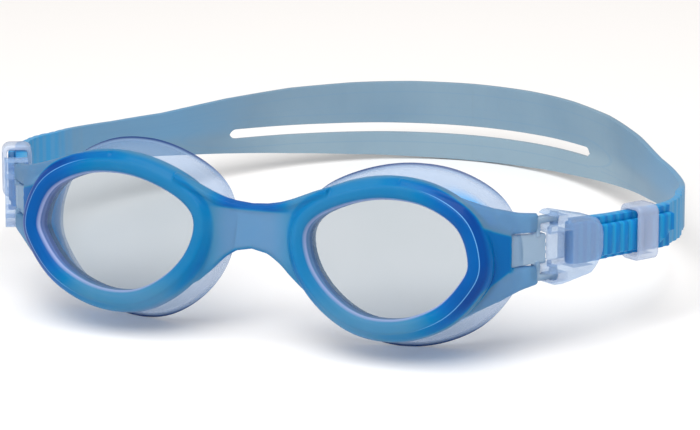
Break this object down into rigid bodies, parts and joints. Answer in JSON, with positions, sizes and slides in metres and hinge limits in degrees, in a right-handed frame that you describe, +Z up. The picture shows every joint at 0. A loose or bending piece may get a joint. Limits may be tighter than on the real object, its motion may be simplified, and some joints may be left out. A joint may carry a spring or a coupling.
{
  "type": "swim goggles",
  "caption": "Swim goggles with a soft translucent blue frame, clear lenses and gaskets, swinging strap buckles and a split silicone strap.",
  "frame": {"origin": "centre of the bounding box's bottom face, on the table", "axes": "the lenses face -Y, the wearer's left is +X, +Z is up; the goggles stand on their gaskets and the back of the strap"},
  "size_m": [0.1698, 0.14, 0.042],
  "materials": {
    "frame_rubber": "glossy translucent blue thermoplastic rubber",
    "clear_carrier": "clear hard plastic",
    "lens_clear": "clear polycarbonate, polished",
    "gasket_clear": "clear soft seal with a blue tint",
    "buckle_clear": "frosted clear plastic",
    "strap_rubber": "satin translucent pale blue",
    "keeper_clear": "milky clear plastic"
  },
  "bodies": {
    "goggles": {"soft_frame": "frame_rubber", "carrier_left": "clear_carrier", "carrier_right": "clear_carrier", "lens_left": "lens_clear", "lens_right": "lens_clear", "gasket_left": "gasket_clear", "gasket_right": "gasket_clear", "strap_back": "strap_rubber"},
    "buckle_left_body": {"buckle_left": "buckle_clear", "strap_end_left": "strap_rubber"},
    "lever_left_body": {"lever_left": "buckle_clear"},
    "keeper_left_body": {"keeper_left": "keeper_clear"},
    "buckle_right_body": {"buckle_right": "buckle_clear", "strap_end_right": "strap_rubber"},
    "lever_right_body": {"lever_right": "buckle_clear"},
    "keeper_right_body": {"keeper_right": "keeper_clear"}
  },
  "joints": [
    {"name": "buckle_left_swing", "type": "hinge", "parent": "goggles", "child": "buckle_left_body", "pos_m": [0.0671, -0.04774, 0.02478], "axis": [0, 0.1291, 0.9916], "range_deg": [-12, 35], "stiffness_Nm_per_rad": 0.005},
    {"name": "buckle_right_swing", "type": "hinge", "parent": "goggles", "child": "buckle_right_body", "pos_m": [-0.0671, -0.04774, 0.02478], "axis": [0, -0.1291, -0.9916], "range_deg": [-12, 35], "stiffness_Nm_per_rad": 0.005},
    {"name": "lever_left_press", "type": "hinge", "parent": "buckle_left_body", "child": "lever_left_body", "pos_m": [0.06652, -0.04879, 0.02492], "axis": [0, -0.1291, -0.9916], "range_deg": [0, 30], "stiffness_Nm_per_rad": 0.002},
    {"name": "lever_right_press", "type": "hinge", "parent": "buckle_right_body", "child": "lever_right_body", "pos_m": [-0.06652, -0.04879, 0.02492], "axis": [0, 0.1291, 0.9916], "range_deg": [0, 30], "stiffness_Nm_per_rad": 0.002},
    {"name": "keeper_left_slide", "type": "slide", "parent": "buckle_left_body", "child": "keeper_left_body", "axis": [0.4848, 0.8673, -0.1129], "range_m": [-0.009, 0]},
    {"name": "keeper_right_slide", "type": "slide", "parent": "buckle_right_body", "child": "keeper_right_body", "axis": [-0.4848, 0.8673, -0.1129], "range_m": [-0.009, 0]}
  ]
}
